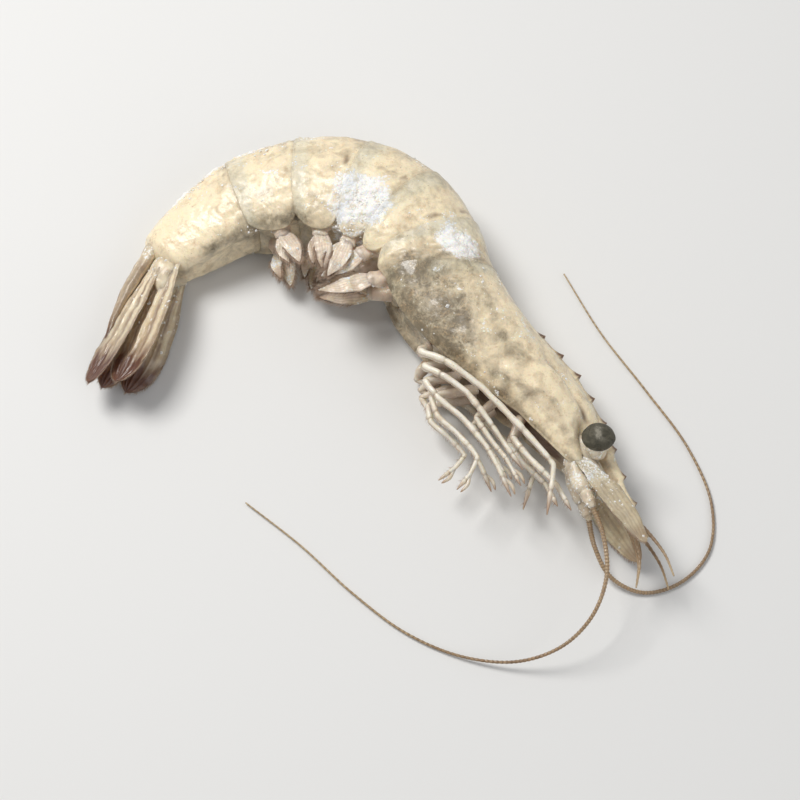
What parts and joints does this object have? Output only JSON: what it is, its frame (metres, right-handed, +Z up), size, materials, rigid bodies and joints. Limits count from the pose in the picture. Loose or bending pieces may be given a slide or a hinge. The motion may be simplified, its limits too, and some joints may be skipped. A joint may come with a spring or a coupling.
{
  "type": "raw whiteleg shrimp",
  "caption": "Whole raw whiteleg shrimp lying on its side, body curled: toothed head shell, ringed body, folded tail fan, legs, swimmerets and feelers.",
  "frame": {"origin": "on the floor, under the middle of the box round the whole shrimp, feelers included", "axes": "+Z up, which is the shrimp's right side; seen from above, the back arches towards +Y, the head points to +X and -Y, and the tail fan to -X"},
  "size_m": [0.1078, 0.095, 0.0181],
  "materials": {
    "shell": "translucent grey-cream shell under white frost",
    "eye": "dark grey-green, matt, lightly frosted",
    "scale": "thin beige blade with fine ribs, frosted at its root",
    "feeler": "olive tan, ringed",
    "limb": "pale cream, slightly translucent",
    "swimmeret": "pinkish cream with a brown fringe",
    "tail": "olive-beige ribs running to purple-brown tips"
  },
  "bodies": {
    "root": {"carapace": "shell", "abdomen_ring_1": "shell", "abdomen_ring_2": "shell", "abdomen_ring_3": "shell", "abdomen_ring_4": "shell", "abdomen_ring_5": "shell", "abdomen_ring_6": "shell", "eye_right": "eye", "eye_left": "eye", "antennal_scale_right": "scale", "antennal_scale_left": "scale", "antennule_right": "feeler", "antennule_left": "feeler", "antenna_right": "feeler", "antenna_left": "feeler", "maxilliped_right": "limb", "maxilliped_left": "limb", "walking_leg_right_1": "limb", "walking_leg_right_2": "limb", "walking_leg_right_3": "limb", "walking_leg_right_4": "limb", "walking_leg_right_5": "limb", "walking_leg_left_1": "limb", "walking_leg_left_2": "limb", "walking_leg_left_3": "limb", "walking_leg_left_4": "limb", "walking_leg_left_5": "limb", "swimmeret_right_1": "swimmeret", "swimmeret_right_2": "swimmeret", "swimmeret_right_3": "swimmeret", "swimmeret_right_4": "swimmeret", "swimmeret_right_5": "swimmeret", "swimmeret_left_1": "swimmeret", "swimmeret_left_2": "swimmeret", "swimmeret_left_3": "swimmeret", "swimmeret_left_4": "swimmeret", "swimmeret_left_5": "swimmeret", "telson": "tail", "uropod_right_inner": "tail", "uropod_right_outer": "tail", "uropod_left_inner": "tail", "uropod_left_outer": "tail"}
  },
  "joints": []
}
